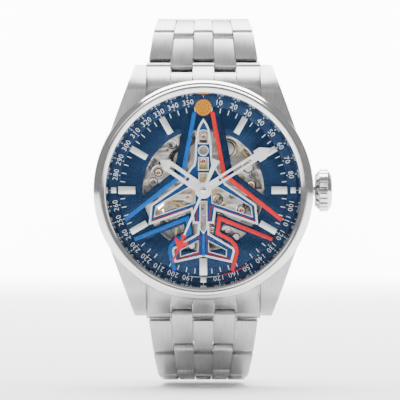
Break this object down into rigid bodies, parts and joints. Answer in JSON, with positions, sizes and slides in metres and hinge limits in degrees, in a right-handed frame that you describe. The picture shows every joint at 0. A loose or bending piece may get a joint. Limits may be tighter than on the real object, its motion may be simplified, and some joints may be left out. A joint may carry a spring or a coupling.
{
  "type": "skeleton wristwatch",
  "caption": "Automatic skeleton wristwatch with an openworked dial, round steel case, fluted crown and a tapering five-column link bracelet with a folding clasp.",
  "frame": {"origin": "centre of the flat outer face of the case back window", "axes": "dial faces -Y, 12 o'clock is +Z, crown is +X; the bracelet loop closes behind the case at +Y"},
  "size_m": [0.0457, 0.0503, 0.0703],
  "materials": {
    "polished_steel": "polished stainless steel",
    "brushed_steel": "brushed stainless steel",
    "nickel": "nickel-plated brass, fine grain",
    "brass": "gilt brass",
    "blued_spring": "blued spring steel",
    "dial_blue": "navy blue lacquered dial with a fine sunray",
    "sapphire": "clear sapphire crystal",
    "white_hand": "satin silver-white"
  },
  "bodies": {
    "case": {"case_middle": "brushed_steel", "bezel": "polished_steel", "crystal": "sapphire", "inner_flange": "polished_steel", "case_back": "brushed_steel", "case_back_window": "sapphire", "crown_tube": "polished_steel", "movement_ring": "nickel", "dial": "dial_blue", "main_plate": "nickel", "train_bridge": "nickel", "barrel_bridge": "nickel", "balance_cock": "nickel", "rotor_axle": "polished_steel", "hairspring": "blued_spring", "mainspring": "nickel", "spring_bar_top": "polished_steel", "spring_bar_bottom": "polished_steel", "end_link_top": "brushed_steel", "end_link_bottom": "brushed_steel"},
    "seconds": {"fourth_wheel": "brass", "seconds_hand": "white_hand"},
    "minute": {"centre_wheel": "brass", "cannon_pinion": "nickel", "minute_hand": "white_hand"},
    "hour": {"hour_wheel": "brass", "hour_hand": "white_hand"},
    "third": {"third_wheel": "brass"},
    "escape": {"escape_wheel": "nickel"},
    "pallets": {"pallet_fork": "nickel"},
    "balance": {"balance_wheel": "brass"},
    "minute_wheel": {"minute_wheel": "brass"},
    "barrel": {"mainspring_barrel": "brass"},
    "ratchet": {"ratchet_wheel": "nickel", "barrel_arbor": "nickel"},
    "crown_wheel": {"crown_wheel": "nickel"},
    "click": {"click": "nickel"},
    "stem": {"winding_stem": "nickel"},
    "crown": {"crown": "polished_steel"},
    "winding_pinion": {"winding_pinion": "nickel"},
    "rotor": {"rotor": "brass"},
    "clasp_cover": {"clasp_cover": "brushed_steel"},
    "clasp_blade_1": {"clasp_blade_1": "polished_steel"},
    "clasp_blade_2": {"clasp_blade_2": "polished_steel"},
    "button_right": {"clasp_button_right": "polished_steel"},
    "button_left": {"clasp_button_left": "polished_steel"},
    "top_1": {"link_top_1": "brushed_steel"},
    "top_2": {"link_top_2": "brushed_steel"},
    "top_3": {"link_top_3": "brushed_steel"},
    "top_4": {"link_top_4": "brushed_steel"},
    "top_5": {"link_top_5": "brushed_steel"},
    "top_6": {"link_top_6": "brushed_steel"},
    "top_7": {"link_top_7": "brushed_steel"},
    "bottom_1": {"link_bottom_1": "brushed_steel"},
    "bottom_2": {"link_bottom_2": "brushed_steel"},
    "bottom_3": {"link_bottom_3": "brushed_steel"},
    "bottom_4": {"link_bottom_4": "brushed_steel"},
    "bottom_5": {"link_bottom_5": "brushed_steel"},
    "bottom_6": {"link_bottom_6": "brushed_steel"},
    "bottom_7": {"link_bottom_7": "brushed_steel"}
  },
  "joints": [
    {"name": "seconds_turn", "type": "hinge", "parent": "case", "child": "seconds", "pos_m": [0, -0.006, 0], "axis": [0, 1, 0], "continuous": true},
    {"name": "escape_turn", "type": "hinge", "parent": "case", "child": "escape", "pos_m": [-0.00117, -0.005, -0.00321], "axis": [0, 1, 0], "continuous": true},
    {"name": "third_turn", "type": "hinge", "parent": "case", "child": "third", "pos_m": [-0.00355, -0.005, -0.00063], "axis": [0, 1, 0], "continuous": true},
    {"name": "minute_turn", "type": "hinge", "parent": "case", "child": "minute", "pos_m": [0, -0.005, 0], "axis": [0, 1, 0], "continuous": true},
    {"name": "minute_wheel_turn", "type": "hinge", "parent": "case", "child": "minute_wheel", "pos_m": [0.00204, -0.005, 0.00204], "axis": [0, 1, 0], "continuous": true},
    {"name": "hour_turn", "type": "hinge", "parent": "case", "child": "hour", "pos_m": [0, -0.005, 0], "axis": [0, 1, 0], "continuous": true},
    {"name": "barrel_turn", "type": "hinge", "parent": "case", "child": "barrel", "pos_m": [0.00376, -0.005, 0.00448], "axis": [0, 1, 0], "continuous": true},
    {"name": "balance_swing", "type": "hinge", "parent": "case", "child": "balance", "pos_m": [-0.0052, -0.004, -0.0066], "axis": [0, 1, 0], "range_deg": [-270, 270], "deforming": ["hairspring"]},
    {"name": "pallet_rock", "type": "hinge", "parent": "case", "child": "pallets", "pos_m": [-0.00294, -0.0046, -0.0047], "axis": [0, 1, 0], "range_deg": [-5, 5]},
    {"name": "crown_pull", "type": "slide", "parent": "case", "child": "stem", "axis": [1, 0, 0], "range_m": [0, 0.0012]},
    {"name": "crown_turn", "type": "hinge", "parent": "stem", "child": "crown", "pos_m": [0.022, -0.0043, 0], "axis": [1, 0, 0], "continuous": true},
    {"name": "winding_pinion_turn", "type": "hinge", "parent": "case", "child": "winding_pinion", "pos_m": [0.009, -0.0043, 0], "axis": [1, 0, 0], "continuous": true},
    {"name": "crown_wheel_turn", "type": "hinge", "parent": "case", "child": "crown_wheel", "pos_m": [0.0068, -0.0022, 0], "axis": [0, 1, 0], "continuous": true},
    {"name": "ratchet_turn", "type": "hinge", "parent": "case", "child": "ratchet", "pos_m": [0.00376, -0.0022, 0.00448], "axis": [0, 1, 0], "continuous": true},
    {"name": "click_lift", "type": "hinge", "parent": "case", "child": "click", "pos_m": [0.00213, -0.0021, 0.00851], "axis": [0, -1, 0], "range_deg": [0, 12]},
    {"name": "rotor_swing", "type": "hinge", "parent": "case", "child": "rotor", "pos_m": [0, -0.0015, 0], "axis": [0, 1, 0], "continuous": true},
    {"name": "top_hinge_1", "type": "hinge", "parent": "case", "child": "top_1", "pos_m": [0, -0.0026, 0.0237], "axis": [1, 0, 0], "range_deg": [0, 32]},
    {"name": "top_hinge_2", "type": "hinge", "parent": "top_1", "child": "top_2", "pos_m": [0, 0.00095, 0.02938], "axis": [1, 0, 0], "range_deg": [0, 37]},
    {"name": "top_hinge_3", "type": "hinge", "parent": "top_2", "child": "top_3", "pos_m": [0, 0.00707, 0.03211], "axis": [1, 0, 0], "range_deg": [0, 29]},
    {"name": "top_hinge_4", "type": "hinge", "parent": "top_3", "child": "top_4", "pos_m": [0, 0.01377, 0.03187], "axis": [1, 0, 0], "range_deg": [0, 19]},
    {"name": "top_hinge_5", "type": "hinge", "parent": "top_4", "child": "top_5", "pos_m": [0, 0.02014, 0.0298], "axis": [1, 0, 0], "range_deg": [0, 17]},
    {"name": "top_hinge_6", "type": "hinge", "parent": "top_5", "child": "top_6", "pos_m": [0, 0.02582, 0.02625], "axis": [1, 0, 0], "range_deg": [0, 18]},
    {"name": "top_hinge_7", "type": "hinge", "parent": "top_6", "child": "top_7", "pos_m": [0, 0.03039, 0.02135], "axis": [1, 0, 0], "range_deg": [0, 18]},
    {"name": "bottom_hinge_1", "type": "hinge", "parent": "case", "child": "bottom_1", "pos_m": [0, -0.0026, -0.0237], "axis": [-1, 0, 0], "range_deg": [0, 17]},
    {"name": "bottom_hinge_2", "type": "hinge", "parent": "bottom_1", "child": "bottom_2", "pos_m": [0, -0.00064, -0.03011], "axis": [-1, 0, 0], "range_deg": [0, 35]},
    {"name": "bottom_hinge_3", "type": "hinge", "parent": "bottom_2", "child": "bottom_3", "pos_m": [0, 0.00442, -0.0345], "axis": [-1, 0, 0], "range_deg": [0, 34]},
    {"name": "bottom_hinge_4", "type": "hinge", "parent": "bottom_3", "child": "bottom_4", "pos_m": [0, 0.01101, -0.03567], "axis": [-1, 0, 0], "range_deg": [0, 23]},
    {"name": "bottom_hinge_5", "type": "hinge", "parent": "bottom_4", "child": "bottom_5", "pos_m": [0, 0.01761, -0.0345], "axis": [-1, 0, 0], "range_deg": [0, 21]},
    {"name": "bottom_hinge_6", "type": "hinge", "parent": "bottom_5", "child": "bottom_6", "pos_m": [0, 0.02353, -0.03136], "axis": [-1, 0, 0], "range_deg": [0, 20]},
    {"name": "bottom_hinge_7", "type": "hinge", "parent": "bottom_6", "child": "bottom_7", "pos_m": [0, 0.02827, -0.02662], "axis": [-1, 0, 0], "range_deg": [0, 20]},
    {"name": "clasp_cover_hinge", "type": "hinge", "parent": "top_7", "child": "clasp_cover", "pos_m": [0, 0.03354, 0.01544], "axis": [1, 0, 0], "range_deg": [0, 12]},
    {"name": "clasp_open", "type": "hinge", "parent": "clasp_cover", "child": "clasp_blade_1", "pos_m": [0, 0.03327, -0.01586], "axis": [1, 0, 0], "range_deg": [0, 50]},
    {"name": "clasp_unfold", "type": "hinge", "parent": "clasp_blade_1", "child": "clasp_blade_2", "pos_m": [0, 0.03377, 0.01193], "axis": [-1, 0, 0], "range_deg": [0, 40]},
    {"name": "button_right_press", "type": "slide", "parent": "clasp_cover", "child": "button_right", "axis": [-1, 0, 0], "range_m": [0, 0.0006], "stiffness_N_per_m": 500, "springref_m": -0.0005},
    {"name": "button_left_press", "type": "slide", "parent": "clasp_cover", "child": "button_left", "axis": [1, 0, 0], "range_m": [0, 0.0006], "stiffness_N_per_m": 500, "springref_m": -0.0005}
  ],
  "couplings": [
    {"joint": "escape_turn", "follows": "seconds_turn", "ratio": -12},
    {"joint": "third_turn", "follows": "seconds_turn", "ratio": -0.13333},
    {"joint": "minute_turn", "follows": "seconds_turn", "ratio": 0.016667},
    {"joint": "minute_wheel_turn", "follows": "seconds_turn", "ratio": -0.0055556},
    {"joint": "hour_turn", "follows": "seconds_turn", "ratio": 0.0013889},
    {"joint": "barrel_turn", "follows": "seconds_turn", "ratio": -0.0025641},
    {"joint": "winding_pinion_turn", "follows": "crown_turn", "ratio": 1},
    {"joint": "crown_wheel_turn", "follows": "crown_turn", "ratio": -0.44444},
    {"joint": "ratchet_turn", "follows": "crown_turn", "ratio": 0.2963}
  ]
}
